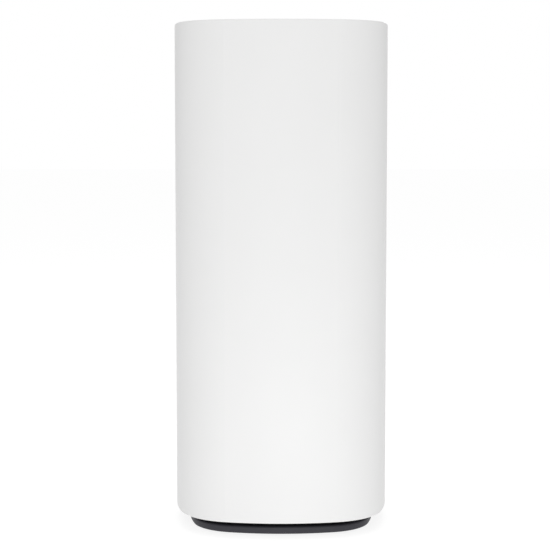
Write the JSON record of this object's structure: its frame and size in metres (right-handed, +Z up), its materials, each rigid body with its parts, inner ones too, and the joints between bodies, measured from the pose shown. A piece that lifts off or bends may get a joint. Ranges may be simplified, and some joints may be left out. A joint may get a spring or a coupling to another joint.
{
  "type": "mesh wifi node",
  "caption": "Tall free-standing mesh wifi node: rounded-square white sleeve over an inset dark base, with a vented cap and a recessed rear bay of network, USB and power sockets.",
  "frame": {"origin": "centre of the footprint, on the surface it stands on", "axes": "+Z up, the plain front faces -Y, the port bay faces +Y"},
  "size_m": [0.093, 0.093, 0.2174],
  "materials": {
    "shell_white": "fine matt moulding",
    "base_slate": "fine matt moulding",
    "bay_slate": "fine matt moulding",
    "foot_rubber": "matt",
    "label_grey": "blank printed film",
    "screw_steel": "zinc plated",
    "screw_black": "black oxide",
    "chassis_grey": "moulded",
    "antenna_board": "solder mask",
    "lead_sheath": "smooth coaxial sheath",
    "contact_gold": "gold flash",
    "lamp_lens": "translucent",
    "shield_steel": "tin plated sheet",
    "socket_black": "moulded",
    "socket_white": "moulded",
    "switch_black": "satin moulding",
    "button_grey": "satin moulding",
    "circuit_board": "solder mask",
    "chip_black": "moulded epoxy",
    "thermal_pad": "soft pad",
    "sink_aluminium": "cast and machined",
    "capacitor_can": "drawn can",
    "light_pipe": "frosted clear",
    "ribbon_film": "film"
  },
  "bodies": {
    "housing": {"outer_sleeve": "shell_white", "top_cap": "shell_white", "cap_screws": "screw_steel", "base": "base_slate", "base_screws": "screw_black", "rubber_foot": "foot_rubber", "rating_label": "label_grey", "inner_chassis": "chassis_grey", "antennas": "antenna_board", "antenna_leads": "lead_sheath", "lead_plugs": "contact_gold", "lead_sockets": "contact_gold", "port_bay": "bay_slate", "socket_lamps": "lamp_lens", "usb_shell": "shield_steel", "usb_tongue": "socket_black", "inlet_body": "socket_black", "inlet_pin": "shield_steel", "switch_body": "switch_black", "pair_switch": "shield_steel", "reset_switch": "shield_steel", "main_board": "circuit_board", "board_screws": "screw_steel", "board_nuts": "screw_steel", "processor": "chip_black", "memory_chips": "chip_black", "processor_pad": "thermal_pad", "processor_shield": "shield_steel", "front_sink_pad": "thermal_pad", "front_heat_sink": "sink_aluminium", "front_sink_screws": "screw_steel", "radio_chips": "chip_black", "radio_shields": "shield_steel", "radio_pads": "thermal_pad", "rear_heat_sink": "sink_aluminium", "rear_sink_screws": "screw_steel", "transformers": "chip_black", "router_chip": "chip_black", "power_inductors": "chip_black", "power_capacitors": "capacitor_can", "status_light": "light_pipe", "status_led": "lamp_lens", "led_board": "circuit_board", "ribbon_sockets": "socket_white", "ribbon_cable": "ribbon_film", "socket_contacts": "contact_gold", "lan_socket_1_shield": "shield_steel", "lan_socket_1_housing": "socket_black", "lan_socket_2_shield": "shield_steel", "lan_socket_2_housing": "socket_black", "lan_socket_3_shield": "shield_steel", "lan_socket_3_housing": "socket_black", "internet_socket_shield": "shield_steel", "internet_socket_housing": "socket_black"},
    "power_rocker": {"power_rocker": "switch_black"},
    "pair_button": {"pair_button": "button_grey", "pair_plunger": "socket_black"},
    "reset_button": {"reset_button": "button_grey", "reset_plunger": "socket_black"}
  },
  "joints": [
    {"name": "rocker_tilt", "type": "hinge", "parent": "housing", "child": "power_rocker", "pos_m": [0.009, 0.0359, 0.0215], "axis": [0, 0, 1], "range_deg": [0, 18]},
    {"name": "pair_press", "type": "slide", "parent": "housing", "child": "pair_button", "axis": [0, -1, 0], "range_m": [0, 0.0006], "stiffness_N_per_m": 1000},
    {"name": "reset_press", "type": "slide", "parent": "housing", "child": "reset_button", "axis": [0, 0, 1], "range_m": [0, 0.0005], "stiffness_N_per_m": 1000}
  ]
}
